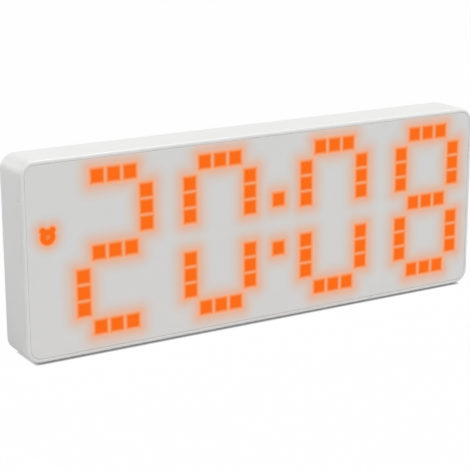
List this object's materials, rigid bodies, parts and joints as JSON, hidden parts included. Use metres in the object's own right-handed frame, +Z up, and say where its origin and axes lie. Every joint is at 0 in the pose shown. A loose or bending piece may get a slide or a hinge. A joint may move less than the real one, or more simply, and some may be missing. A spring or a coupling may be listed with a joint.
{
  "type": "digital desk clock",
  "caption": "Thin rounded slab clock with glowing square-dot digits behind a flush diffusing front, rear keys and a battery door; stands on its base.",
  "frame": {"origin": "centre of the base on the surface that the clock stands on, under the middle of its box", "axes": "+X to the right seen from the front, +Y to the rear, +Z up; the display faces -Y"},
  "size_m": [0.2, 0.0188, 0.0746],
  "materials": {
    "white_case_plastic": "fine satin moulded ABS",
    "white_cover_plastic": "fine satin moulded ABS",
    "diffuser_sheet": "light grey diffusing acrylic, satin",
    "mask_plastic": "opaque white moulded ABS",
    "board_laminate": "green solder mask on glass-epoxy laminate",
    "led_orange": "clear resin, lit orange",
    "chip_resin": "black moulded epoxy",
    "component_metal": "bright drawn can",
    "resistor_ceramic": "black glazed chip",
    "screw_steel": "zinc plated",
    "contact_nickel": "nickel plated spring steel",
    "cell_wrap": "plain plastic sleeve on a steel can",
    "switch_black": "black moulded nylon",
    "key_grey": "light grey satin ABS",
    "microphone_rubber": "soft black rubber",
    "foot_rubber": "matt grey rubber",
    "lead_sleeve": "red and black insulated wire"
  },
  "bodies": {
    "clock": {"front_case": "white_case_plastic", "front_panel": "diffuser_sheet", "light_mask": "mask_plastic", "display_board": "board_laminate", "display_leds": "led_orange", "board_screws": "screw_steel", "control_chip": "chip_resin", "hours_driver_chip": "chip_resin", "minutes_driver_chip": "chip_resin", "clock_crystal": "component_metal", "smoothing_capacitor": "component_metal", "chip_resistors": "resistor_ceramic", "sounder": "switch_black", "microphone": "component_metal", "microphone_boot": "microphone_rubber", "push_switches": "switch_black", "slide_switch_body": "component_metal", "socket_shell": "component_metal", "socket_insulator": "switch_black", "rear_cover": "white_cover_plastic", "battery_cells": "cell_wrap", "contact_plates": "contact_nickel", "contact_springs": "contact_nickel", "battery_leads": "lead_sleeve", "case_screws": "screw_steel", "rubber_feet": "foot_rubber"},
    "slide_knob": {"slide_switch_knob": "switch_black"},
    "door": {"battery_door": "white_cover_plastic"},
    "set_button": {"set_key": "key_grey", "set_plunger": "switch_black"},
    "plus_button": {"plus_key": "key_grey", "plus_plunger": "switch_black"},
    "minus_button": {"minus_key": "key_grey", "minus_plunger": "switch_black"},
    "alarm_button": {"alarm_key": "key_grey", "alarm_plunger": "switch_black"}
  },
  "joints": [
    {"name": "set_press", "type": "slide", "parent": "clock", "child": "set_button", "axis": [0, -1, 0], "range_m": [0, 0.0005], "stiffness_N_per_m": 600, "springref_m": -0.001},
    {"name": "plus_press", "type": "slide", "parent": "clock", "child": "plus_button", "axis": [0, -1, 0], "range_m": [0, 0.0005], "stiffness_N_per_m": 600, "springref_m": -0.001},
    {"name": "minus_press", "type": "slide", "parent": "clock", "child": "minus_button", "axis": [0, -1, 0], "range_m": [0, 0.0005], "stiffness_N_per_m": 600, "springref_m": -0.001},
    {"name": "alarm_press", "type": "slide", "parent": "clock", "child": "alarm_button", "axis": [0, -1, 0], "range_m": [0, 0.0005], "stiffness_N_per_m": 600, "springref_m": -0.001},
    {"name": "display_mode_slide", "type": "slide", "parent": "clock", "child": "slide_knob", "axis": [1, 0, 0], "range_m": [0, 0.002]},
    {"name": "battery_door_tilt", "type": "hinge", "parent": "clock", "child": "door", "pos_m": [0, 0.0086, 0.0199], "axis": [-1, 0, 0], "range_deg": [0, 60]}
  ]
}
